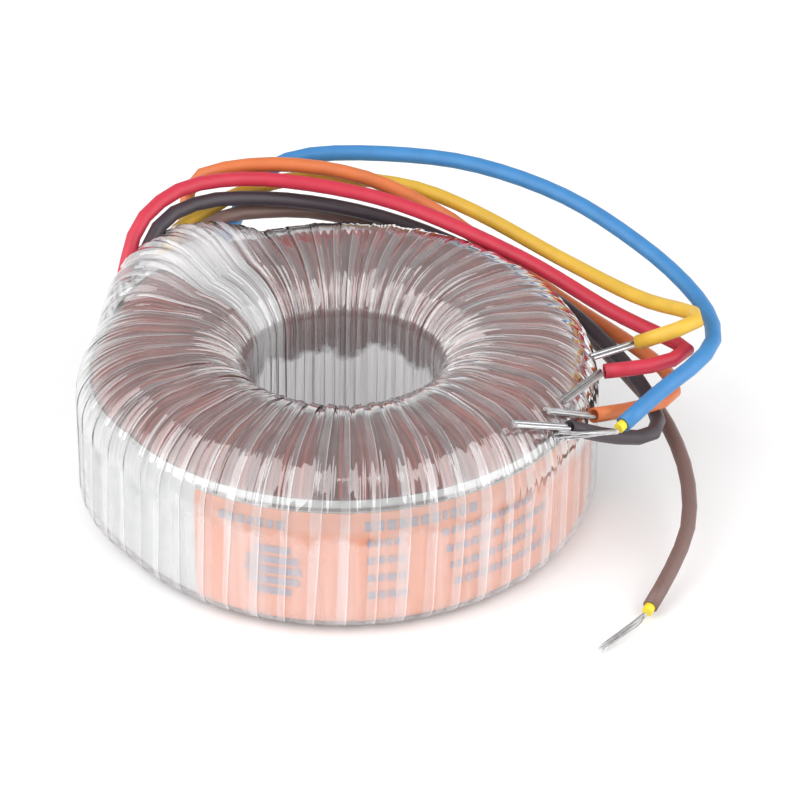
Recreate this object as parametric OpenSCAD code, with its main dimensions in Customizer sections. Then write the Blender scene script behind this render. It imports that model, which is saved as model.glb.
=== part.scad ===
// Toroidal mains transformer with six free leads.
// Z is the axis of the ring, and Z = 0 is the surface that it rests on.

/* [Ring] */
// Radius of the wrapped ring
ring_r = 40.3; // [38:0.1:42]
// Radius of the film's innermost turns in the bore
film_bore_r = 15.5; // [14:0.5:16]
// How far the overlaps in the bore are pressed smooth
bore_press = 0.1; // [0.05:0.01:0.15]
// Height of the wrapped ring
ring_h = 30.2; // [29:0.2:32]
// Height of the wound steel core
core_h = 20; // [18:0.5:21]
// Thickness of everything around the core, in the outer wall and in the bore
build = 6; // [5.8:0.1:6.4]

/* [Layers] */
// Thickness of the clear film
film_t = 0.6; // [0.5:0.05:0.7]
// Depth of a film turn's overlap step
film_step = 0.25; // [0.1:0.05:0.3]
// Turns of film around the ring
film_turns = 56; // [40:4:60]
// Thickness of the label
label_t = 0.2; // [0.1:0.05:0.2]
// Thickness of the white band
band_t = 0.25; // [0.15:0.05:0.25]
// Thickness of the secondary winding
secondary_t = 1.7; // [1.5:0.1:1.7]
// Depth of the groove between two wires
wire_groove = 0.4; // [0.2:0.05:0.45]
// Turns of wire in the secondary's outer layer
wire_turns = 168; // [120:8:176]
// Thickness of the insulation between the windings
interwinding_t = 0.4; // [0.2:0.05:0.4]
// Thickness of the primary winding
primary_t = 1.5; // [1:0.1:1.6]
// Thickness of the core's insulation
core_insulation_t = 0.75; // [0.3:0.05:0.75]
// Gap between two layers
layer_gap = 0.1; // [0.05:0.01:0.1]

/* [Label and band] */
// Where the label starts around the ring, in degrees
label_start = -124; // [-180:1:0]
// How far the label reaches around the ring, in degrees
label_sweep = 119; // [60:1:160]
// How far the label's top edge lies under the ring's top
label_drop = 6.9; // [6:0.1:12]
// How far the white band's top edge lies under the ring's top
band_drop = 5.2; // [4.2:0.1:5.8]
// Height of the lower edge of the label and the band
band_foot = 1.6; // [1:0.1:4]
// Middle of the white patch under the leads, in degrees
patch_at = 138; // [120:1:150]
// How far the patch reaches around the ring, in degrees
patch_sweep = 24; // [15:1:30]

/* [Leads] */
// Diameter of the four secondary sleeves and the brown lead
lead_d = 2.4; // [2.2:0.1:2.4]
// Diameter of the blue lead
blue_d = 2.6; // [2.4:0.1:2.6]
// Diameter of a solid secondary wire
wire_d = 0.7; // [0.5:0.05:0.8]
// Distance between the two wires of a pair
pair_pitch = 0.9; // [0.85:0.05:1]
// Diameter of a stranded conductor
strand_d = 1; // [0.8:0.1:1.2]
// Diameter of the inner insulation on the stranded leads
inner_d = 1.7; // [1.5:0.1:1.9]
// Height of the film that is gathered over the lead exits
mound_h = 5; // [4.6:0.1:5.4]
// Middle of the gathered film, in degrees
mound_at = 140; // [136:1:144]
// Half the angle that the gathered film covers
mound_half = 27; // [25:1:30]
// How far the film bulges from the wall beside the lead exits
bulge_out = 0.8; // [0:0.1:0.9]
// Middle of the bulge, in degrees
bulge_at = 187; // [180:1:192]
// Half the angle that the bulge covers
bulge_half = 25; // [20:1:30]

/* [Hidden] */

// Each layer's depth is how far its outer face lies inside the ring's outer wall.
label_depth = film_t + layer_gap / 2;
band_depth = label_depth + label_t + layer_gap / 2;
secondary_depth = band_depth + band_t + layer_gap / 2;
interwinding_depth = secondary_depth + secondary_t + layer_gap;
primary_depth = interwinding_depth + interwinding_t + layer_gap;
core_insulation_depth = primary_depth + primary_t + layer_gap;

// The ring's section has a flat top and foot and four elliptic shoulders.
// Each shoulder is [half width, half height] at the film; the core's are small.
top_outer = [10, 10.5];
top_inner = [10.5, 8.2];
foot_inner = [4.5, 5];
foot_outer = [6, 5];
core_edge = [1, 1];
foot_lift = (ring_h - core_h) / 2;
clear_bore_r = film_bore_r + film_step + bore_press;
smooth_n = 120;
cord_sides = 8;
end_gap = 0.3;
socket_depth = 6;
label_top = ring_h - label_drop;
band_top = ring_h - band_drop;
shoulder_r = ring_r - top_outer[0];

// Route of each lead, from the film to its cut end
red_route = [[-35.5, 20.5, 27], [-33.5, 26, 33], [-29.5, 30.5, 36], [-23, 34.5, 37],
             [-11, 38, 35.5], [8, 36, 32.5], [28, 27.5, 27.5], [42.5, 14, 25.5],
             [51, 5, 26], [54, 1, 26.5], [53, -1.5, 26.5], [48, -3.5, 26], [41, -5, 26]];
black_route = [[-33, 21, 28.5], [-30, 27, 33], [-26, 31.5, 34], [-19, 35.5, 33.5],
               [-6, 39.5, 30.5], [9, 40.5, 26], [24.5, 35, 21.5], [37.5, 22, 19.5],
               [46, 7.5, 18], [49, -1, 17], [49.5, -7, 17], [47, -11.5, 18],
               [41.5, -15, 20.5], [35, -21, 26]];
yellow_route = [[-29, 23.5, 30], [-27, 30.5, 30.5], [-23, 36, 30.5], [-17, 40, 32],
                [-6, 44, 32.5], [9.5, 45, 30.5], [21, 41, 28], [35.5, 27, 27],
                [47, 13, 28.5], [54, 4, 31.5], [56, 0.5, 32.5], [53.5, -1.5, 32],
                [46.5, 1, 27.5]];
orange_route = [[-26, 30.5, 27.5], [-26, 36, 28], [-26, 39.5, 31], [-23, 40, 35.5],
                [-11, 41.5, 36.5], [3, 42.5, 33.5], [15.5, 39.5, 28.5], [24.5, 38, 22],
                [35.5, 28.5, 18.5], [47, 13, 19], [52, 3.5, 19.5], [51.5, -3, 20],
                [46.5, -7, 20.5], [39, -14.5, 24]];
blue_route = [[-20, 30, 29.5], [-18.5, 36, 28], [-17.5, 41, 28], [-14.5, 46, 31.5],
              [-7, 48.5, 34], [6, 48.5, 34.5], [21, 45, 34.5], [36, 37, 33],
              [48.5, 25, 30.5], [56, 14, 28.5], [58.5, 4, 28], [56.5, -3, 27.5],
              [49.5, -10, 25.5], [43.5, -17, 24]];
brown_route = [[-24, 27, 31], [-20.5, 34, 30.5], [-15, 38, 29.5], [-4, 42, 27],
               [11, 43, 22], [26, 38, 17.5], [38, 26.5, 15], [46.5, 10, 14.5],
               [51, 0.5, 13.5], [54, -10, 10.5], [54, -19.5, 7], [51, -27.5, 4],
               [47.5, -34.5, 2]];

// Tip of each bare conductor
red_tip = [34, -16, 27.5];
black_tip = [26.5, -26, 30];
yellow_tip = [39, -4, 28];
orange_tip = [31.5, -20, 28.5];
blue_tip = [33, -26, 27.5];
brown_tip = [39.5, -44.5, 0.8];
inner_length = 1.2;

function lerp(a, b, t) = a + (b - a) * t;
function unit(v) = v / norm(v);

// Points of one elliptic shoulder, from angle a0 to angle a1 in n steps
function shoulder(centre, half, a0, a1, n) = [
    for (i = [0:n])
        let(a = a0 + (a1 - a0) * i / n)
            [centre[0] + half[0] * cos(a), centre[1] + half[1] * sin(a)]
];

// Sizes of the section at a depth; every turn of film lies flat on the foot
function outer_r_at(d) = ring_r - d;
function bore_r_at(d) = film_bore_r + d;
function foot_z_at(d) = foot_lift * max(0, d - film_step) / (build - film_step);
function top_z_at(d) = ring_h - (ring_h - core_h - foot_lift) * d / build;
function half_at(full, d) = lerp(full, core_edge, d / build);

// Closed outline of the section at a depth, with n steps on each large shoulder
function section(d, n = 4, m = 2) =
    let(
        a = half_at(foot_outer, d),
        b = half_at(top_outer, d),
        c = half_at(top_inner, d),
        e = half_at(foot_inner, d),
        ro = outer_r_at(d),
        ri = bore_r_at(d),
        z0 = foot_z_at(d),
        z1 = top_z_at(d)
    ) concat(
        shoulder([ro - a[0], z0 + a[1]], a, -90, 0, m),
        shoulder([ro - b[0], z1 - b[1]], b, 0, 90, n),
        shoulder([ri + c[0], z1 - c[1]], c, 90, 180, n),
        shoulder([ri + e[0], z0 + e[1]], e, 180, 270, m)
    );

// Solid ring inside the section at a depth
module ring_solid(d) {
    rotate_extrude($fn = smooth_n)
        polygon(section(d));
}

// Layer between two depths
module layer(d, t) {
    difference() {
        ring_solid(d);
        ring_solid(d + t);
    }
}

// Strip of a layer's outer wall, between two heights
module wall_strip(d, t, low, high, sweep) {
    rotate_extrude(angle = sweep, $fn = smooth_n)
        intersection() {
            difference() {
                polygon(section(d));
                polygon(section(d + t));
            }
            translate([shoulder_r, low])
                square([top_outer[0], high - low]);
        }
}

// The film stands off its upper shoulder where it is gathered over the lead exits,
// and bulges from the wall beside them
shoulder_centre = [shoulder_r, ring_h - top_outer[1]];
function fade(a, middle, half) = max(0, 1 - pow((a - middle) / half, 2));
function mound(a, p) =
    let(
        v = p - shoulder_centre,
        lift = mound_h * fade(a, mound_at, mound_half) * fade(atan2(v[1], v[0]), 55, 60),
        out = max(0, v[0] / top_outer[0]) * bulge_out * fade(a, bulge_at, bulge_half)
    ) p + unit(v) * lift + [out, 0];

// One turn of tape or wire leads to the next: a turn's start is moved along
// by one pitch over the way round the section, so the last point meets the next turn.
function wound_points(turns, low_d, high_d, step, n, m, gathered) =
    let(low = section(low_d, n, m), high = section(high_d, n, m), count = len(low))
    [
        for (i = [0:turns - 1])
            for (s = [0, 1])
                for (j = [0:count - 1])
                    let(
                        a = 360 * (i + s * step + j / count) / turns,
                        flat = s == 0 ? high[j] : low[j],
                        p = gathered ? mound(a, flat) : flat
                    ) [p[0] * cos(a), p[0] * sin(a), p[1]]
    ];

function wound_faces(turns, count) =
    let(rings = 2 * turns)
    [
        for (k = [0:rings - 1])
            for (j = [0:count - 1])
                let(
                    last = j == count - 1,
                    next = (k + 1) % rings,
                    p = k * count + j,
                    q = next * count + j,
                    up = last ? ((k + 2) % rings) * count : p + 1,
                    up_next = last ? ((next + 2) % rings) * count : q + 1
                ) each [[p, up, up_next], [p, up_next, q]]
    ];

module wound(turns, low_d, high_d, step, n, m, gathered = false) {
    polyhedron(
        points = wound_points(turns, low_d, high_d, step, n, m, gathered),
        faces = wound_faces(turns, len(section(0, n, m))),
        convexity = 6
    );
}

// Round tube along a route, as one polyhedron
function heading(route, i) =
    i == 0 ? unit(route[1] - route[0])
    : i == len(route) - 1 ? unit(route[i] - route[i - 1])
    : unit(unit(route[i + 1] - route[i]) + unit(route[i] - route[i - 1]));

// Side direction of each ring, carried along so that the tube doesn't twist
function carried(side, along) = unit(side - along * (side * along));
function sides_of(route, i = 0, made = []) =
    i == len(route) ? made
    : sides_of(route, i + 1, concat(made, [
        i == 0 ? carried([0, 0, 1], heading(route, 0))
        : carried(made[i - 1], heading(route, i))
    ]));

module tube(route, d, sides = cord_sides) {
    across = sides_of(route);
    rings = len(route);
    points = [
        for (i = [0:rings - 1])
            let(u = across[i], v = cross(heading(route, i), u))
                for (j = [0:sides - 1])
                    let(a = 360 * j / sides)
                        route[i] + (u * cos(a) + v * sin(a)) * d / 2
    ];
    walls = [
        for (i = [0:rings - 2])
            for (j = [0:sides - 1])
                let(p = i * sides + j, q = i * sides + (j + 1) % sides)
                    each [[p, p + sides, q + sides], [p, q + sides, q]]
    ];
    ends = [[for (j = [0:sides - 1]) j], [for (j = [sides - 1:-1:0]) (rings - 1) * sides + j]];
    polyhedron(points = points, faces = concat(walls, ends), convexity = 6);
}

// Rod from one point to another
module rod(from, to, d) {
    v = to - from;
    translate(from)
        rotate([0, acos(v[2] / norm(v)), atan2(v[1], v[0])])
            cylinder(h = norm(v), d = d, $fn = 24);
}

function end_of(route) = route[len(route) - 1];
function past_end(route, by) = end_of(route) + heading(route, len(route) - 1) * by;

// Pair of solid wires side by side, from a sleeve's end to the tip
module wire_pair(route, tip) {
    start = past_end(route, end_gap);
    side = unit(cross(tip - start, [0, 0, 1])) * pair_pitch / 2;
    for (k = [-1, 1])
        rod(start + side * k, tip + side * k, wire_d);
}

module core() {
    color("#7d8287")
        ring_solid(build);
}

module core_insulation() {
    color("#e9e4d4")
        layer(core_insulation_depth, core_insulation_t);
}

module primary_winding() {
    color("#a4502c")
        layer(primary_depth, primary_t);
}

module interwinding_insulation() {
    color("#efe9d6")
        layer(interwinding_depth, interwinding_t);
}

module secondary_winding() {
    color("#8a4a3a")
        difference() {
            wound(wire_turns, secondary_depth + wire_groove, secondary_depth, 0.5, 3, 1);
            ring_solid(secondary_depth + secondary_t);
        }
}

module outer_band() {
    color("#e6e8e6")
        wall_strip(band_depth, band_t, band_foot, band_top, 360);
}

module label() {
    color("#e9a07c")
        rotate([0, 0, label_start])
            wall_strip(label_depth, label_t, band_foot, label_top, label_sweep);
}

// White strip that runs from the top of the band, over the ring and into the bore
module lead_patch() {
    color("#f1f1ef")
        rotate([0, 0, patch_at - patch_sweep / 2])
            rotate_extrude(angle = patch_sweep, $fn = smooth_n)
                difference() {
                    polygon(section(band_depth));
                    polygon(section(band_depth + band_t));
                    square([ring_r, ring_h / 2]);
                    translate([shoulder_r, 0])
                        square([top_outer[0], band_top + end_gap]);
                }
}

// Socket in the film for the start of one lead
module lead_socket(route, d) {
    rod(route[0], route[0] + heading(route, 0) * socket_depth, d + 2 * layer_gap);
}

module outer_wrap() {
    color("#dfe3e6", 0.45)
        difference() {
            wound(film_turns, film_step, 0, 0.18, 4, 2, true);
            ring_solid(film_t);
            translate([0, 0, -1])
                cylinder(r = clear_bore_r, h = ring_h + 2, $fn = smooth_n);
            lead_socket(red_route, lead_d);
            lead_socket(black_route, lead_d);
            lead_socket(yellow_route, lead_d);
            lead_socket(orange_route, lead_d);
            lead_socket(blue_route, blue_d);
            lead_socket(brown_route, lead_d);
        }
}

module lead_red() {
    color("#c8324b")
        tube(red_route, lead_d);
}

module lead_black() {
    color("#4a4146")
        tube(black_route, lead_d);
}

module lead_yellow() {
    color("#e5c04a")
        tube(yellow_route, lead_d);
}

module lead_orange() {
    color("#d8783a")
        tube(orange_route, lead_d);
}

module lead_blue() {
    color("#4a96d2")
        tube(blue_route, blue_d);
}

module lead_brown() {
    color("#846660")
        tube(brown_route, lead_d);
}

module conductor_red() {
    color("#c9c9cb")
        wire_pair(red_route, red_tip);
}

module conductor_black() {
    color("#c9c9cb")
        wire_pair(black_route, black_tip);
}

module conductor_yellow() {
    color("#c9c9cb")
        wire_pair(yellow_route, yellow_tip);
}

module conductor_orange() {
    color("#c9c9cb")
        wire_pair(orange_route, orange_tip);
}

module conductor_blue() {
    color("#c9c9cb")
        rod(past_end(blue_route, inner_length + end_gap), blue_tip, strand_d);
}

module conductor_brown() {
    color("#c9c9cb")
        rod(past_end(brown_route, inner_length + end_gap), brown_tip, strand_d);
}

module inner_insulation_blue() {
    color("#e6d22e")
        rod(end_of(blue_route), past_end(blue_route, inner_length), inner_d);
}

module inner_insulation_brown() {
    color("#e6d22e")
        rod(end_of(brown_route), past_end(brown_route, inner_length), inner_d);
}

core();
core_insulation();
primary_winding();
interwinding_insulation();
secondary_winding();
outer_band();
label();
lead_patch();
outer_wrap();
lead_red();
lead_black();
lead_yellow();
lead_orange();
lead_blue();
lead_brown();
conductor_red();
conductor_black();
conductor_yellow();
conductor_orange();
conductor_blue();
conductor_brown();
inner_insulation_blue();
inner_insulation_brown();
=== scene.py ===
import math
import random

import bpy
import numpy as np
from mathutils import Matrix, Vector


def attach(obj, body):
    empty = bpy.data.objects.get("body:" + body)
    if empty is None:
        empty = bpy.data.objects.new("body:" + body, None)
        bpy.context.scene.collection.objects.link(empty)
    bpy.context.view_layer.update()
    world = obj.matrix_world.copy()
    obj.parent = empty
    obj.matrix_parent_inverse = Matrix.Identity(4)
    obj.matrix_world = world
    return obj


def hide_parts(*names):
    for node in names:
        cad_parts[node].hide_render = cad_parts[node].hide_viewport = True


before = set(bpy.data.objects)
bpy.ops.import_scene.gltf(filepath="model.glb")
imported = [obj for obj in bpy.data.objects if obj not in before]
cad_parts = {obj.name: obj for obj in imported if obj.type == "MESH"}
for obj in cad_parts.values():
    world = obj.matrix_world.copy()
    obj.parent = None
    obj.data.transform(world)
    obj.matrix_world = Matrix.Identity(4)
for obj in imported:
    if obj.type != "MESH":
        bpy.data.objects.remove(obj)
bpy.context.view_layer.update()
scene = bpy.context.scene

# Camera
ELEVATION = math.radians(33)
TARGET = Vector((0.00907, 0, 0.0174))
cam_data = bpy.data.cameras.new("camera")
cam_data.sensor_width = 36
cam_data.lens = 4424 * 36 / 800
cam_data.clip_start = 0.01
cam = bpy.data.objects.new("camera", cam_data)
cam.location = TARGET + 0.7 * Vector((0, -math.cos(ELEVATION), math.sin(ELEVATION)))
cam.rotation_euler = (math.pi / 2 - ELEVATION, 0, 0)
scene.collection.objects.link(cam)
scene.camera = cam

# Leads: routes from the film to each cut end, in millimetres
ROUTES = {
    "red": [(-35.5, 20.5, 27), (-33.5, 26, 33), (-29.5, 30.5, 36), (-23, 34.5, 37),
            (-11, 38, 35.5), (8, 36, 32.5), (28, 27.5, 27.5), (42.5, 14, 25.5),
            (51, 5, 26), (54, 1, 26.5), (53, -1.5, 26.5), (48, -3.5, 26), (41, -5, 26)],
    "black": [(-33, 21, 28.5), (-30, 27, 33), (-26, 31.5, 34), (-19, 35.5, 33.5),
              (-6, 39.5, 30.5), (9, 40.5, 26), (24.5, 35, 21.5), (37.5, 22, 19.5),
              (46, 7.5, 18), (49, -1, 17), (49.5, -7, 17), (47, -11.5, 18),
              (41.5, -15, 20.5), (35, -21, 26)],
    "yellow": [(-29, 23.5, 30), (-27, 30.5, 30.5), (-23, 36, 30.5), (-17, 40, 32),
               (-6, 44, 32.5), (9.5, 45, 30.5), (21, 41, 28), (35.5, 27, 27),
               (47, 13, 28.5), (54, 4, 31.5), (56, 0.5, 32.5), (53.5, -1.5, 32),
               (46.5, 1, 27.5)],
    "orange": [(-26, 30.5, 27.5), (-26, 36, 28), (-26, 39.5, 31), (-23, 40, 35.5),
               (-11, 41.5, 36.5), (3, 42.5, 33.5), (15.5, 39.5, 28.5), (24.5, 38, 22),
               (35.5, 28.5, 18.5), (47, 13, 19), (52, 3.5, 19.5), (51.5, -3, 20),
               (46.5, -7, 20.5), (39, -14.5, 24)],
    "blue": [(-20, 30, 29.5), (-18.5, 36, 28), (-17.5, 41, 28), (-14.5, 46, 31.5),
             (-7, 48.5, 34), (6, 48.5, 34.5), (21, 45, 34.5), (36, 37, 33),
             (48.5, 25, 30.5), (56, 14, 28.5), (58.5, 4, 28), (56.5, -3, 27.5),
             (49.5, -10, 25.5), (43.5, -17, 24)],
    "brown": [(-24, 27, 31), (-20.5, 34, 30.5), (-15, 38, 29.5), (-4, 42, 27),
              (11, 43, 22), (26, 38, 17.5), (38, 26.5, 15), (46.5, 10, 14.5),
              (51, 0.5, 13.5), (54, -10, 10.5), (54, -19.5, 7), (51, -27.5, 4),
              (47.5, -34.5, 2)],
}


def smooth_route(points, count=36):
    """Points evenly spread along a Catmull-Rom curve through a route."""
    p = [Vector(q) / 1000 for q in points]
    p = [p[0] * 2 - p[1]] + p + [p[-1] * 2 - p[-2]]
    dense = []
    for i in range(1, len(p) - 2):
        a, b, c, d = p[i - 1:i + 3]
        for k in range(24):
            t = k / 24
            dense.append(0.5 * (2 * b + (c - a) * t + (2 * a - 5 * b + 4 * c - d) * t * t
                                + (3 * b - a - 3 * c + d) * t ** 3))
    dense.append(p[-2])
    run = [0]
    for a, b in zip(dense, dense[1:]):
        run.append(run[-1] + (b - a).length)
    out, j = [], 0
    for i in range(count):
        want = run[-1] * i / (count - 1)
        while j < len(run) - 2 and run[j + 1] < want:
            j += 1
        t = (want - run[j]) / (run[j + 1] - run[j])
        out.append(dense[j].lerp(dense[j + 1], t))
    return out, run[-1]


def mesh_object(name, verts, faces, smooth=True):
    mesh = bpy.data.meshes.new(name)
    mesh.from_pydata([tuple(v) for v in verts], [], faces)
    mesh.validate()
    if smooth:
        mesh.shade_smooth()
    obj = bpy.data.objects.new(name, mesh)
    scene.collection.objects.link(obj)
    return obj


def frames_along(points):
    """Heading and two side directions at each point, carried along without twist."""
    out, side = [], Vector((0, 0, 1))
    for i, p in enumerate(points):
        along = (points[min(i + 1, len(points) - 1)] - points[max(i - 1, 0)]).normalized()
        side = (side - along * side.dot(along)).normalized()
        out.append((along, side, along.cross(side)))
    return out


def tube(name, points, radius, sides=24, hollow=0.0, deep=0.006):
    """Round tube; with hollow its far end is open, with a wall of that thickness."""
    rings = [(p, f, radius) for p, f in zip(points, frames_along(points))]
    if hollow:
        end, f, _ = rings[-1]
        rings += [(end, f, radius - hollow), (end - f[0] * deep, f, radius - hollow)]
    verts, faces = [], []
    for p, (along, u, v), r in rings:
        for j in range(sides):
            a = 2 * math.pi * j / sides
            verts.append(p + (u * math.cos(a) + v * math.sin(a)) * r)
    for i in range(len(rings) - 1):
        for j in range(sides):
            a, b = i * sides + j, i * sides + (j + 1) % sides
            faces.append((a, b, b + sides, a + sides))
    faces.append(tuple(range(sides - 1, -1, -1)))
    faces.append(tuple((len(rings) - 1) * sides + j for j in range(sides)))
    return mesh_object(name, verts, faces)



# The ring's section at a depth under the film, in millimetres
RING_R, BORE_R, RING_H, CORE_H, BUILD = 40.3, 15.5, 30.2, 20.0, 6.0
FOOT_LIFT, FILM_STEP = (RING_H - CORE_H) / 2, 0.25
TOP_OUT, TOP_IN, FOOT_IN, FOOT_OUT = (10, 10.5), (10.5, 8.2), (4.5, 5), (6, 5)
CREST = RING_R - TOP_OUT[0]


def section(depth, arc=0.95, wall=2.4):
    """Points and normals round the section, from the foot up the outer wall, over the top and
    down the bore."""
    t = max(0.0, depth) / BUILD
    half = [tuple(h + (1 - h) * t for h in pair) for pair in (FOOT_OUT, TOP_OUT, TOP_IN, FOOT_IN)]
    a, b, c, e = half
    ro, ri = RING_R - depth, BORE_R + depth
    z0 = FOOT_LIFT * max(0.0, depth - FILM_STEP) / (BUILD - FILM_STEP)
    z1 = RING_H - (RING_H - CORE_H - FOOT_LIFT) * max(0.0, depth) / BUILD - min(0.0, depth)
    pts = []

    def bend(centre, h, a0, a1):
        steps = max(3, int(math.pi / 2 * (h[0] + h[1]) / 2 / arc))
        for i in range(steps + 1):
            w = math.radians(a0 + (a1 - a0) * i / steps)
            n = Vector((math.cos(w) / h[0], math.sin(w) / h[1])).normalized()
            pts.append((centre[0] + h[0] * math.cos(w), centre[1] + h[1] * math.sin(w), n.x, n.y))

    def straight(to, normal):
        r, z = pts[-1][:2]
        d = math.hypot(to[0] - r, to[1] - z)
        steps = max(1, int(d / wall))
        for i in range(1, steps):
            pts.append((r + (to[0] - r) * i / steps, z + (to[1] - z) * i / steps, *normal))

    bend((ro - a[0], z0 + a[1]), a, -90, 0)
    straight((ro, z1 - b[1]), (1, 0))
    bend((ro - b[0], z1 - b[1]), b, 0, 90)
    straight((ri + c[0], z1), (0, 1))
    bend((ri + c[0], z1 - c[1]), c, 90, 180)
    straight((ri, z0 + e[1]), (-1, 0))
    bend((ri + e[0], z0 + e[1]), e, 180, 270)
    straight((ro - a[0], z0), (0, -1))
    return pts


SEC = np.array(section(0))
RUN = np.concatenate([[0], np.cumsum(np.hypot(np.diff(SEC[:, 0]), np.diff(SEC[:, 1])))])
SHARE = RUN / RUN[-1]


def section_at(depth):
    """Section points at a depth, resampled to the same count as the film's section."""
    pts = np.array(section(depth))
    run = np.concatenate([[0], np.cumsum(np.hypot(np.diff(pts[:, 0]), np.diff(pts[:, 1])))])
    ref = np.concatenate([[0], np.cumsum(np.hypot(np.diff(SEC[:, 0]), np.diff(SEC[:, 1])))])
    share = ref / ref[-1] * run[-1]
    out = np.stack([np.interp(share, run, pts[:, k]) for k in range(4)], 1)
    out[:, 2:] /= np.linalg.norm(out[:, 2:], axis=1)[:, None]
    return out


# Height of the gathered film and of the bulge beside it, in millimetres
MOUND_H, BULGE_OUT = 5.0, 1.6


def fade(a, middle, half):
    return np.clip(1 - ((a - middle) / half) ** 2, 0, None)


def swell(az, r, z, mound=1.0):
    """Moves section points by the gathered film over the lead exits and the bulge beside them."""
    vr, vz = r - CREST, z - (RING_H - TOP_OUT[1])
    size = np.maximum(np.hypot(vr, vz), 1e-6)
    lift = MOUND_H * mound * fade(az, 140, 27) * fade(np.degrees(np.arctan2(vz, vr)), 55, 60)
    out = np.clip(vr / TOP_OUT[0], 0, None) * BULGE_OUT * fade(az, 187, 25)
    return r + vr / size * lift + out, z + vz / size * lift


def to_world(az, r, z):
    a = np.radians(az)
    return np.stack([r * np.cos(a), r * np.sin(a), z], -1) / 1000


def grid_mesh(name, points, closed_rows=False, closed_cols=False, uv=None):
    """Mesh from a grid of points, rows by columns."""
    n, m = points.shape[:2]
    ids = np.arange(n * m).reshape(n, m)
    a = ids if closed_rows else ids[:-1]
    b = np.roll(ids, -1, 0) if closed_rows else ids[1:]
    if closed_cols:
        a2, b2 = np.roll(a, -1, 1), np.roll(b, -1, 1)
    else:
        a, a2, b, b2 = a[:, :-1], a[:, 1:], b[:, :-1], b[:, 1:]
    faces = np.stack([a, b, b2, a2], -1).reshape(-1, 4)
    mesh = bpy.data.meshes.new(name)
    mesh.vertices.add(n * m)
    mesh.vertices.foreach_set("co", points.reshape(-1).astype(np.float32))
    mesh.loops.add(faces.size)
    mesh.loops.foreach_set("vertex_index", faces.reshape(-1).astype(np.int32))
    mesh.polygons.add(len(faces))
    mesh.polygons.foreach_set("loop_start", np.arange(0, faces.size, 4, dtype=np.int32))
    mesh.update(calc_edges=True)
    if uv is not None:
        layer = mesh.uv_layers.new(name="UVMap")
        layer.data.foreach_set("uv", uv.reshape(-1, 2)[faces.reshape(-1)].reshape(-1).astype(np.float32))
    mesh.validate()
    mesh.shade_smooth()
    obj = bpy.data.objects.new(name, mesh)
    scene.collection.objects.link(obj)
    return obj


def wave(rng, count, low, high, phase_only=False):
    """Sum of random sines as a function of one variable."""
    f = rng.uniform(low, high, count)
    p = rng.uniform(0, 2 * np.pi, count)
    w = rng.uniform(0.4, 1, count)
    w /= w.sum()
    return lambda x: sum(w[i] * np.sin(f[i] * x + p[i]) for i in range(count))


# Copper wires of the outer winding
WIRES, WIRE_R = 196, 0.39
# Depth of the grooves in millimetres, and how far a group of wires leans in degrees
GROOVE, LEAN_DEG = 0.85, 1.3


def winding():
    rng = np.random.default_rng(5)
    sec = section_at(1.2)
    rr, zz, nr, nz = (sec[:, k][None, :] for k in range(4))
    m = sec.shape[0]
    s = SHARE[None, :]
    lean = wave(rng, 5, 1.5, 7)
    rows_az, rows_h = [], []
    pitch_deg = 360 / WIRES
    jitter = rng.normal(0, 0.13, WIRES)
    for i in range(WIRES):
        drift = wave(rng, 3, 3, 11)
        mid = (i + jitter[i] + 0.16 * drift(s)) * pitch_deg
        turned = i * 2 * np.pi / WIRES
        mid = mid + LEAN_DEG * lean(turned) * np.sin(np.pi * s)
        mid = mid + 2.2 * (s - 0.3) * np.sin(i * 0.37) * 0.25
        pitch = np.radians(pitch_deg) * rr
        reach = np.minimum(WIRE_R, 0.47 * pitch)
        drop = rng.uniform(0, 0.12)
        for x in (-1.0, -0.62, 0.0, 0.62, 1.0):
            rows_az.append(mid + np.degrees(x * reach / rr))
            rows_h.append(reach * (math.sqrt(max(0, 1 - x * x)) - 1) - drop + 0 * rr)
        between = LEAN_DEG * lean((i + 0.5) * 2 * np.pi / WIRES) * np.sin(np.pi * s)
        rows_az.append((i + 0.5) * pitch_deg + 0 * rr + between)
        rows_h.append(-GROOVE + 0 * rr)
    az, h = np.concatenate(rows_az), np.concatenate(rows_h)
    r, z = swell(az % 360, rr + nr * h, zz + nz * h, 0.3)
    uv = np.stack(np.broadcast_arrays(np.arange(az.shape[0])[:, None] / 6.0, s), -1)
    obj = grid_mesh("wire_winding", to_world(az, r, z), True, True, uv)
    return obj


FILM_TURNS = 56


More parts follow.
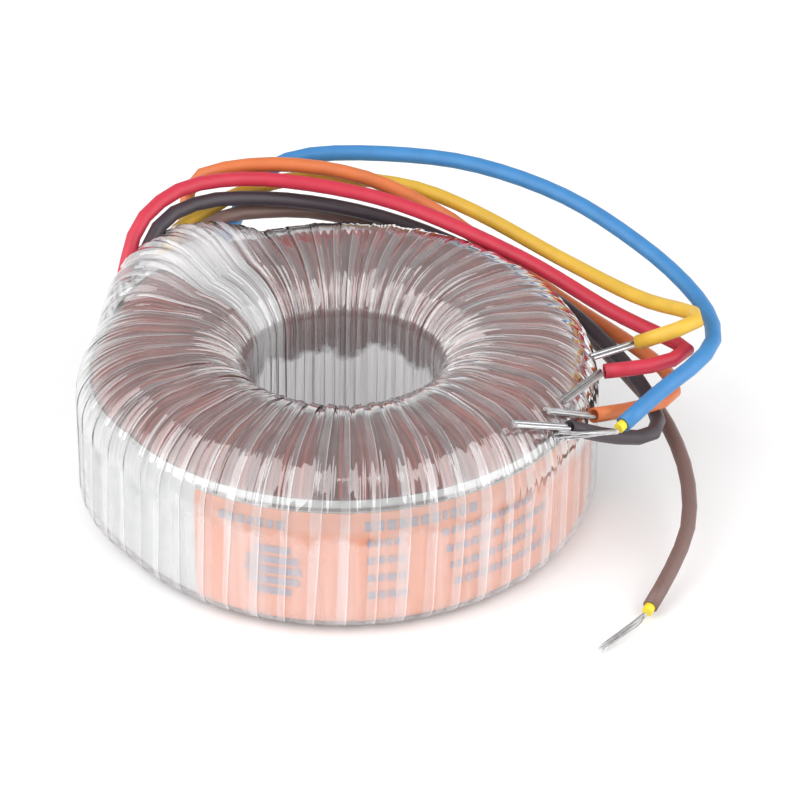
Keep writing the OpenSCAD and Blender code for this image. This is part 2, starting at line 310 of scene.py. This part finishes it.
def film(part, parts=3):
    """Shingled turns of clear film: each turn's exposed edge lies over the next turn."""
    rng = np.random.default_rng(40 + part)
    sec = section_at(0)
    m = sec.shape[0]
    s = SHARE[None, :]
    rr, zz, nr, nz = (sec[:, k][None, :] for k in range(4))
    foot = np.clip(zz / 1.5, 0, 1)
    near_bore = np.clip((CREST + 4 - rr) / 14, 0, 1)
    over_top = np.clip((zz - 19) / 6, 0, 1)
    verts, faces, uvs, base = [], [], [], 0
    n = 44
    xs = np.linspace(0, 1.32, n)[:, None]
    for t in range(part, FILM_TURNS, parts):
        pitch_deg = 360 / FILM_TURNS
        wander = 0.10 * wave(rng, 3, 2, 9)(s)
        az = (t + xs + wander * (0.3 + 0.7 * xs)) * pitch_deg + pitch_deg * (s - 0.25)
        bow = 1 - np.clip(2 * np.abs(xs - 0.82 + 0.2 * wave(rng, 2, 2, 8)(s)), 0, 1) ** 1.6
        tall = 0.03 + 0.12 * over_top + 0.22 * near_bore
        tall = tall * (0.9 + 0.5 * wave(rng, 3, 3, 10)(s)) * rng.uniform(0.55, 1.35)
        folds = np.zeros((n, m))
        for k in range(11):
            centre = rng.uniform(0.25, 1.32) + 0.10 * wave(rng, 2, 2, 6)(s)
            width = rng.uniform(0.04, 0.14)
            reach = np.clip(1.6 * wave(rng, 2, 3, 12)(s) + 0.2, 0, 1)
            tent = np.clip(1 - np.abs(xs - centre) / width, 0, 1)
            folds = np.maximum(folds, rng.uniform(0.25, 1.0) * reach * tent)
        h = (0.03 + 0.12 * xs) * (1 + near_bore) + bow * tall + folds * (0.03 + 0.20 * over_top + 0.22 * near_bore)
        h = h * foot
        azm = az % 360
        crumple = fade(azm, 140, 29) * fade(np.degrees(np.arctan2(zz - 19.7, rr - CREST)), 55, 62)
        noise = wave(rng, 4, 5, 16)(s * 5 + xs * 0.9 + 0.3 * wave(rng, 2, 5, 12)(s)) * 0.8 * crumple
        h = h + noise * foot
        r, z = swell(azm, rr + nr * h, np.maximum(zz + nz * h, 0), 1.0)
        pts = to_world(az, r, np.maximum(z, 0))
        ids = base + np.arange(n * m).reshape(n, m)
        a, a2 = ids[:-1], np.roll(ids[:-1], -1, 1)
        b, b2 = ids[1:], np.roll(ids[1:], -1, 1)
        verts.append(pts.reshape(-1, 3))
        faces.append(np.stack([a, b, b2, a2], -1).reshape(-1, 4))
        uvs.append(np.stack(np.broadcast_arrays(xs / 1.32, s), -1).reshape(-1, 2))
        base += n * m
    verts, faces, uvs = np.concatenate(verts), np.concatenate(faces), np.concatenate(uvs)
    name = f"film_{part}"
    mesh = bpy.data.meshes.new(name)
    mesh.vertices.add(len(verts))
    mesh.vertices.foreach_set("co", verts.reshape(-1).astype(np.float32))
    mesh.loops.add(faces.size)
    mesh.loops.foreach_set("vertex_index", faces.reshape(-1).astype(np.int32))
    mesh.polygons.add(len(faces))
    mesh.polygons.foreach_set("loop_start", np.arange(0, faces.size, 4, dtype=np.int32))
    mesh.update(calc_edges=True)
    layer = mesh.uv_layers.new(name="UVMap")
    layer.data.foreach_set("uv", uvs[faces.reshape(-1)].reshape(-1).astype(np.float32))
    mesh.validate()
    mesh.shade_smooth()
    obj = bpy.data.objects.new(name, mesh)
    scene.collection.objects.link(obj)
    return obj


def strip(name, depth, az0, az1, keep, count=200, mound=0.5):
    """Band of the ring's surface between two azimuths, where keep(r, z) holds."""
    sec = section_at(depth)
    ok = keep(sec[:, 0], sec[:, 1])
    sec = sec[ok]
    az = np.linspace(az0, az1, count)[:, None]
    r, z = swell(az % 360, sec[:, 0][None, :], sec[:, 1][None, :], mound)
    around, up = np.linspace(0, 1, count)[:, None], np.linspace(0, 1, len(sec))[None, :]
    uv = np.stack(np.broadcast_arrays(around, up), -1)
    return grid_mesh(name, to_world(az, r, z), False, False, uv)


# Materials
def material(name):
    mat = bpy.data.materials.new(name)
    mat.use_nodes = True
    nt = mat.node_tree
    return mat, nt, nt.nodes["Principled BSDF"]


def noise_colour(nt, bsdf, dark, light, scale, detail=3.0, stretch=None):
    """Base colour that varies between two colours by noise in object space."""
    tex = nt.nodes.new("ShaderNodeTexCoord")
    noise = nt.nodes.new("ShaderNodeTexNoise")
    noise.inputs["Scale"].default_value = scale
    noise.inputs["Detail"].default_value = detail
    ramp = nt.nodes.new("ShaderNodeValToRGB")
    ramp.color_ramp.elements[0].position, ramp.color_ramp.elements[1].position = 0.35, 0.65
    ramp.color_ramp.elements[0].color, ramp.color_ramp.elements[1].color = (*dark, 1), (*light, 1)
    nt.links.new(tex.outputs["Object"], noise.inputs["Vector"])
    nt.links.new(noise.outputs["Fac"], ramp.inputs["Fac"])
    nt.links.new(ramp.outputs["Color"], bsdf.inputs["Base Color"])
    return noise, ramp


def simple(name, dark, light, rough=0.5, metal=0.0, scale=300, coat=0.0):
    mat, nt, b = material(name)
    b.inputs["Roughness"].default_value = rough
    b.inputs["Metallic"].default_value = metal
    b.inputs["Coat Weight"].default_value = coat
    noise_colour(nt, b, dark, light, scale)
    return mat


def copper_material():
    mat, nt, b = material("copper_wire")
    uv = nt.nodes.new("ShaderNodeUVMap")
    uv.uv_map = "UVMap"
    noise = nt.nodes.new("ShaderNodeTexNoise")
    noise.inputs["Scale"].default_value = 1.3
    noise.inputs["Detail"].default_value = 2
    ramp = nt.nodes.new("ShaderNodeValToRGB")
    e = ramp.color_ramp.elements
    e[0].position, e[0].color = 0.3, (0.11, 0.018, 0.013, 1)
    e[1].position, e[1].color = 0.7, (0.42, 0.075, 0.04, 1)
    nt.links.new(uv.outputs["UV"], noise.inputs["Vector"])
    nt.links.new(noise.outputs["Fac"], ramp.inputs["Fac"])
    nt.links.new(ramp.outputs["Color"], b.inputs["Base Color"])
    b.inputs["Metallic"].default_value = 0.35
    b.inputs["Roughness"].default_value = 0.38
    b.inputs["Coat Weight"].default_value = 0.3
    return mat


def by_share(nt, share, stops):
    """Value that changes along the section, from (share, value) stops."""
    ramp = nt.nodes.new("ShaderNodeValToRGB")
    e = ramp.color_ramp.elements
    while len(e) < len(stops):
        e.new(0.5)
    for el, (at, value) in zip(e, stops):
        el.position = at
        el.color = (value, value, value, 1)
    nt.links.new(share, ramp.inputs["Fac"])
    return ramp.outputs["Color"]


def math_node(nt, kind, a, b=None, clamp=False):
    node = nt.nodes.new("ShaderNodeMath")
    node.operation = kind
    node.use_clamp = clamp
    for i, v in enumerate((a, b)):
        if v is None:
            continue
        if isinstance(v, (int, float)):
            node.inputs[i].default_value = v
        else:
            nt.links.new(v, node.inputs[i])
    return node.outputs["Value"]


def film_material():
    mat = bpy.data.materials.new("clear_film")
    mat.use_nodes = True
    nt = mat.node_tree
    nt.nodes.clear()
    out = nt.nodes.new("ShaderNodeOutputMaterial")
    clear = nt.nodes.new("ShaderNodeBsdfTransparent")
    clear.inputs["Color"].default_value = (0.985, 0.98, 0.985, 1)
    haze = nt.nodes.new("ShaderNodeBsdfDiffuse")
    haze.inputs["Color"].default_value = (0.90, 0.885, 0.90, 1)
    gloss = nt.nodes.new("ShaderNodeBsdfGlossy")
    gloss.inputs["Roughness"].default_value = 0.035
    uv = nt.nodes.new("ShaderNodeUVMap")
    uv.uv_map = "UVMap"
    split = nt.nodes.new("ShaderNodeSeparateXYZ")
    nt.links.new(uv.outputs["UV"], split.inputs["Vector"])
    edge = nt.nodes.new("ShaderNodeMapRange")
    edge.inputs["From Min"].default_value, edge.inputs["From Max"].default_value = 0.955, 1.0
    edge.inputs["To Min"].default_value, edge.inputs["To Max"].default_value = 0.0, 0.3
    nt.links.new(split.outputs["X"], edge.inputs["Value"])
    place_at = nt.nodes.new("ShaderNodeTexCoord")
    drawn = nt.nodes.new("ShaderNodeMapping")
    drawn.inputs["Scale"].default_value = (1, 1, 0.04)
    nt.links.new(place_at.outputs["Object"], drawn.inputs["Vector"])
    streak = nt.nodes.new("ShaderNodeTexNoise")
    streak.inputs["Scale"].default_value = 330
    streak.inputs["Detail"].default_value = 2
    nt.links.new(drawn.outputs["Vector"], streak.inputs["Vector"])
    patchy = nt.nodes.new("ShaderNodeTexNoise")
    patchy.inputs["Scale"].default_value = 170
    patchy.inputs["Detail"].default_value = 4
    nt.links.new(place_at.outputs["Object"], patchy.inputs["Vector"])
    uneven = math_node(nt, "MULTIPLY", math_node(nt, "SUBTRACT", patchy.outputs["Fac"], 0.5), 0.13)
    moved = math_node(nt, "ADD", split.outputs["Y"], uneven)
    # Film haze along the section: real haze on the outer wall and over the top. From the lower bore on (share 0.675)
    # it is painted light: the film turns near-opaque white so the bore's lower half reads bright, standing in for
    # the lit floor seen through it.
    haze_and_painted_bore_light = by_share(nt, moved, [(0.0, 0.12), (0.08, 0.26), (0.225, 0.26), (0.25, 0.07), (0.42, 0.13),
                                (0.60, 0.16), (0.655, 0.22), (0.675, 0.96), (0.84, 0.98)])
    streaks = math_node(nt, "MULTIPLY", math_node(nt, "SUBTRACT", streak.outputs["Fac"], 0.5), 0.5)
    on_wall = by_share(nt, split.outputs["Y"], [(0.0, 1.0), (0.23, 1.0), (0.26, 0.15), (1.0, 0.3)])
    haze_and_painted_bore_light = math_node(nt, "ADD", haze_and_painted_bore_light, math_node(nt, "MULTIPLY", streaks, on_wall), True)
    apart = nt.nodes.new("ShaderNodeVectorMath")
    apart.operation = "DISTANCE"
    apart.inputs[1].default_value = (-0.027, 0.024, 0.034)
    nt.links.new(place_at.outputs["Object"], apart.inputs[0])
    gathered = nt.nodes.new("ShaderNodeMapRange")
    gathered.inputs["From Min"].default_value, gathered.inputs["From Max"].default_value = 0.006, 0.017
    gathered.inputs["To Min"].default_value, gathered.inputs["To Max"].default_value = 0.32, 0.0
    nt.links.new(apart.outputs["Value"], gathered.inputs["Value"])
    haze_and_painted_bore_light = math_node(nt, "ADD", haze_and_painted_bore_light, gathered.outputs["Result"], True)
    # Haze, whitened tape edges and the painted light of the lower bore together set how much white diffuse is mixed
    # in.
    haze_edges_and_painted_bore_light = math_node(nt, "ADD", haze_and_painted_bore_light, edge.outputs["Result"], True)
    fresnel = nt.nodes.new("ShaderNodeFresnel")
    fresnel.inputs["IOR"].default_value = 1.5
    geometry = nt.nodes.new("ShaderNodeNewGeometry")
    side = nt.nodes.new("ShaderNodeMapRange")
    side.inputs["To Min"].default_value, side.inputs["To Max"].default_value = 1.5, 1 / 1.5
    nt.links.new(geometry.outputs["Backfacing"], side.inputs["Value"])
    nt.links.new(side.outputs["Result"], fresnel.inputs["IOR"])
    layers = by_share(nt, split.outputs["Y"], [(0.0, 0.10), (0.225, 0.12), (0.255, 0.62), (0.37, 0.42), (0.43, 0.20),
                                               (0.50, 0.55), (0.60, 0.5), (0.78, 0.2)])
    many = math_node(nt, "MULTIPLY", math_node(nt, "MULTIPLY", fresnel.outputs["Fac"], 10.0), layers, True)
    mix1, mix2 = nt.nodes.new("ShaderNodeMixShader"), nt.nodes.new("ShaderNodeMixShader")
    nt.links.new(haze_edges_and_painted_bore_light, mix1.inputs["Fac"])
    nt.links.new(clear.outputs["BSDF"], mix1.inputs[1])
    nt.links.new(haze.outputs["BSDF"], mix1.inputs[2])
    nt.links.new(many, mix2.inputs["Fac"])
    nt.links.new(mix1.outputs["Shader"], mix2.inputs[1])
    nt.links.new(gloss.outputs["BSDF"], mix2.inputs[2])
    nt.links.new(mix2.outputs["Shader"], out.inputs["Surface"])
    return mat


def place(obj, mat, slot, *nodes):
    obj.data.materials.clear()
    obj.data.materials.append(mat)
    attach(obj, "root")
    if nodes:
        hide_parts(*nodes)
    return obj


place(winding(), copper_material(), "secondary_wire", "secondary_winding")
film_mat = film_material()
place(film(0), film_mat, "clear_film", "outer_wrap")
place(film(1), film_mat, "clear_film")
place(film(2), film_mat, "clear_film")
LABEL_TOP, BAND_TOP, BAND_FOOT = 23.3, 25.0, 1.6
band = strip("band_paper", 0.9, 0, 360, lambda r, z: (r > CREST) & (z > BAND_FOOT) & (z < BAND_TOP), 361)
place(band, simple("band_paper", (0.47, 0.49, 0.48), (0.54, 0.56, 0.55), 0.6), "white_band", "outer_band")
label = strip("label_paper", 0.70, -124, -5, lambda r, z: (r > CREST) & (z > BAND_FOOT) & (z < LABEL_TOP), 161)
place(label, simple("label_paper", (0.66, 0.20, 0.065), (0.72, 0.24, 0.09), 0.5), "label", "label")


def bars(name, rows, depth=0.5):
    """Print on the label: short curved bars, each (azimuth from, azimuth to, height, thickness)."""
    sec = section_at(depth)
    order = np.argsort(sec[:, 1][(sec[:, 0] > CREST)])
    zs, rs = sec[:, 1][sec[:, 0] > CREST][order], sec[:, 0][sec[:, 0] > CREST][order]
    verts, faces = [], []
    for a0, a1, z, t in rows:
        n = max(2, int(abs(a1 - a0) / 1.5) + 1)
        for i in range(n + 1):
            a = math.radians(a0 + (a1 - a0) * i / n)
            for zz in (z - t / 2, z + t / 2):
                r = float(np.interp(zz, zs, rs))
                verts.append((r * math.cos(a) / 1000, r * math.sin(a) / 1000, zz / 1000))
        k = len(verts) - 2 * (n + 1)
        faces += [(k + 2 * i, k + 2 * i + 2, k + 2 * i + 3, k + 2 * i + 1) for i in range(n)]
    return mesh_object(name, verts, faces)


rng_print = random.Random(3)
print_rows = []


def line_of_bars(start, z, lengths, t, gap=1.1):
    a = start
    for length in lengths:
        print_rows.append((a, a + length, z, t))
        a += length + gap


line_of_bars(-117.5, 20.0, [1.7, 1.5, 1.6, 1.5, 1.6, 1.4, 1.8], 1.5, 0.7)
line_of_bars(-84.5, 20.3, [1.8, 1.6, 1.8, 1.8, 1.6, 1.8, 1.7, 0.9, 1.6, 1.6, 1.7], 1.7, 0.8)
for row, z in enumerate((17.2, 14.0, 10.8, 7.6)):
    line_of_bars(-84, z, [rng_print.uniform(0.9, 1.9) for _ in range(4)], 1.25, 0.7)
    line_of_bars(-67 + row, z, [rng_print.uniform(0.8, 2.0) for _ in range(12 + row % 2)], 1.25, 0.75)
for k in range(5):
    half = 6.4 * math.sqrt(1 - ((k - 2) / 2.6) ** 2)
    print_rows.append((-105 - half, -105 + half, 11.6 + 1.9 * (k - 2), 1.2))
ink = simple("label_ink", (0.20, 0.16, 0.22), (0.27, 0.22, 0.28), 0.6)
place(bars("label_print", print_rows), ink, "label")
rim = bars("label_rim", [(-124, -5, LABEL_TOP - 0.15, 0.5)], 0.55)
place(rim, simple("label_rim", (0.05, 0.03, 0.028), (0.11, 0.06, 0.045), 0.6), "label")
patch = strip("exit_patch", 0.9, 126, 150, lambda r, z: ((r > CREST) & (z > BAND_TOP)) | ((r <= CREST) & (z > 12)), 41, 0.6)
place(patch, simple("exit_patch", (0.62, 0.62, 0.62), (0.72, 0.73, 0.72), 0.6), "white_band", "lead_patch")

COLOURS = {"red": (0.56, 0.028, 0.058), "black": (0.055, 0.042, 0.052), "yellow": (0.72, 0.44, 0.045),
           "orange": (0.64, 0.17, 0.05), "blue": (0.045, 0.22, 0.50), "brown": (0.19, 0.115, 0.10)}
for colour, route in ROUTES.items():
    path, length = smooth_route(route)
    size = 0.0026 if colour == "blue" else 0.0024
    lead = tube(f"sleeve_{colour}", path, size / 2, hollow=0.0003)
    c = COLOURS[colour]
    place(lead, simple(f"sleeve_{colour}", [v * 0.9 for v in c], c, 0.42), f"sleeve_{colour}", f"lead_{colour}")



def strands(name, start, tip, count, spread, seed, loops=0):
    """Fine bare wires that leave an insulation end together and fan out to the tip."""
    rnd = random.Random(seed)
    start, tip = Vector(start) / 1000, Vector(tip) / 1000
    along = (tip - start).normalized()
    u = along.cross(Vector((0, 0, 1))).normalized()
    v = along.cross(u)
    reach = (tip - start).length
    verts, faces = [], []
    for k in range(count):
        a = 2 * math.pi * k / count
        r0 = 0.00035 if k else 0.0
        off = [rnd.uniform(-1, 1) * spread / 1000 for _ in range(2)]
        length = reach * rnd.uniform(0.86, 1.0)
        loose = k < loops
        pts = []
        for i in range(13):
            t = i / 12
            turn = a + 1.5 * t
            p = start + along * (length * t * (0.9 if loose else 1))
            p += (u * math.cos(turn) + v * math.sin(turn)) * r0 * (1 - 0.4 * t)
            p += (u * off[0] + v * off[1] * 0.6) * t ** 1.5
            if loose:
                p += (u * 0.0017 - Vector((0, 0, 0.0012))) * math.sin(math.pi * t) * (1 if k else -1)
            p.z = max(p.z, 0.00025)
            pts.append(p)
        base = len(verts)
        for p, (w, e, f) in zip(pts, frames_along(pts)):
            for j in range(6):
                b = 2 * math.pi * j / 6
                verts.append(p + (e * math.cos(b) + f * math.sin(b)) * 0.00011)
        for i in range(12):
            for j in range(6):
                q, r = base + i * 6 + j, base + i * 6 + (j + 1) % 6
                faces.append((q, r, r + 6, q + 6))
        faces.append(tuple(base + 72 + j for j in range(6)))
    return mesh_object(name, verts, faces)


CAD_LOOKS = {
    "core": simple("core_steel", (0.2, 0.2, 0.21), (0.3, 0.3, 0.31), 0.4, 0.9),
    "core_insulation": simple("core_paper", (0.8, 0.78, 0.66), (0.86, 0.84, 0.74), 0.7),
    "interwinding_insulation": simple("inner_paper", (0.82, 0.80, 0.70), (0.88, 0.86, 0.78), 0.7),
    "primary_winding": simple("primary_copper", (0.3, 0.08, 0.03), (0.45, 0.14, 0.06), 0.35, 0.6),
}
tin = simple("tinned_wire", (0.55, 0.55, 0.56), (0.7, 0.7, 0.71), 0.3, 1.0, 900)
inner = simple("inner_insulation", (0.78, 0.62, 0.03), (0.84, 0.68, 0.04), 0.45)
blue_strands = strands("strands_blue", (42.5, -18.6, 23.7), (33, -26, 27.5), 19, 1.0, 4, 1)
place(blue_strands, tin, "tinned_wire", "conductor_blue")
brown_strands = strands("strands_brown", (46.6, -36.2, 1.6), (39.5, -44.5, 0.8), 16, 0.5, 9, 1)
place(brown_strands, tin, "tinned_wire", "conductor_brown")
for node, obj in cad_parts.items():
    mat = CAD_LOOKS.get(node)
    if node.startswith("conductor"):
        mat = tin
    if node.startswith("inner_insulation"):
        mat = inner
    if mat is not None:
        obj.data.materials.clear()
        obj.data.materials.append(mat)

# Floor and light
bpy.ops.mesh.primitive_plane_add(size=6, location=(0, 0, 0))
floor = bpy.context.object
floor.name = "floor"
floor.data.materials.append(simple("floor_paper", (0.91, 0.91, 0.91), (0.93, 0.93, 0.93), 0.9, scale=40))

world = bpy.data.worlds.new("world")
scene.world = world
world.use_nodes = True
wn, wl = world.node_tree.nodes, world.node_tree.links
back = wn["Background"]
back.inputs["Color"].default_value = (1, 1, 1, 1)
path_node = wn.new("ShaderNodeLightPath")
# Reflections see a grey room over a white cove; the camera sees white
where = wn.new("ShaderNodeTexCoord")
where_split = wn.new("ShaderNodeSeparateXYZ")
wl.new(where.outputs["Generated"], where_split.inputs["Vector"])
room = wn.new("ShaderNodeMapRange")
room.interpolation_type = "SMOOTHSTEP"
room.inputs["From Min"].default_value, room.inputs["From Max"].default_value = 0.15, 0.5
room.inputs["To Min"].default_value, room.inputs["To Max"].default_value = 1.0, 0.3
wl.new(where_split.outputs["Z"], room.inputs["Value"])
plain_room = wn.new("ShaderNodeMix")
wl.new(path_node.outputs["Is Camera Ray"], plain_room.inputs["Factor"])
wl.new(room.outputs["Result"], plain_room.inputs["A"])
plain_room.inputs["B"].default_value = 1.0
level = wn.new("ShaderNodeMix")
wl.new(path_node.outputs["Is Diffuse Ray"], level.inputs["Factor"])
wl.new(plain_room.outputs["Result"], level.inputs["A"])
level.inputs["B"].default_value = 0.7
wl.new(level.outputs["Result"], back.inputs["Strength"])


def softbox(name, place, target, width, height, watts):
    data = bpy.data.lights.new(name, "AREA")
    data.shape = "RECTANGLE"
    data.size, data.size_y, data.energy = width, height, watts
    obj = bpy.data.objects.new(name, data)
    obj.location = place
    obj.rotation_euler = (Vector(target) - Vector(place)).to_track_quat("-Z", "Y").to_euler()
    scene.collection.objects.link(obj)
    return obj


def at(azimuth, elevation, distance):
    a, e = math.radians(azimuth), math.radians(elevation)
    return (distance * math.cos(e) * math.cos(a), distance * math.cos(e) * math.sin(a), distance * math.sin(e))


softbox("key_light", at(212, 34, 0.8), (0, 0, 0.01), 1.1, 1.15, 7.5)
softbox("side_light", at(332, 32, 0.8), (0, 0, 0.01), 0.8, 0.95, 4.6)

scene.cycles.transparent_max_bounces = 40
scene.view_settings.view_transform = "Standard"
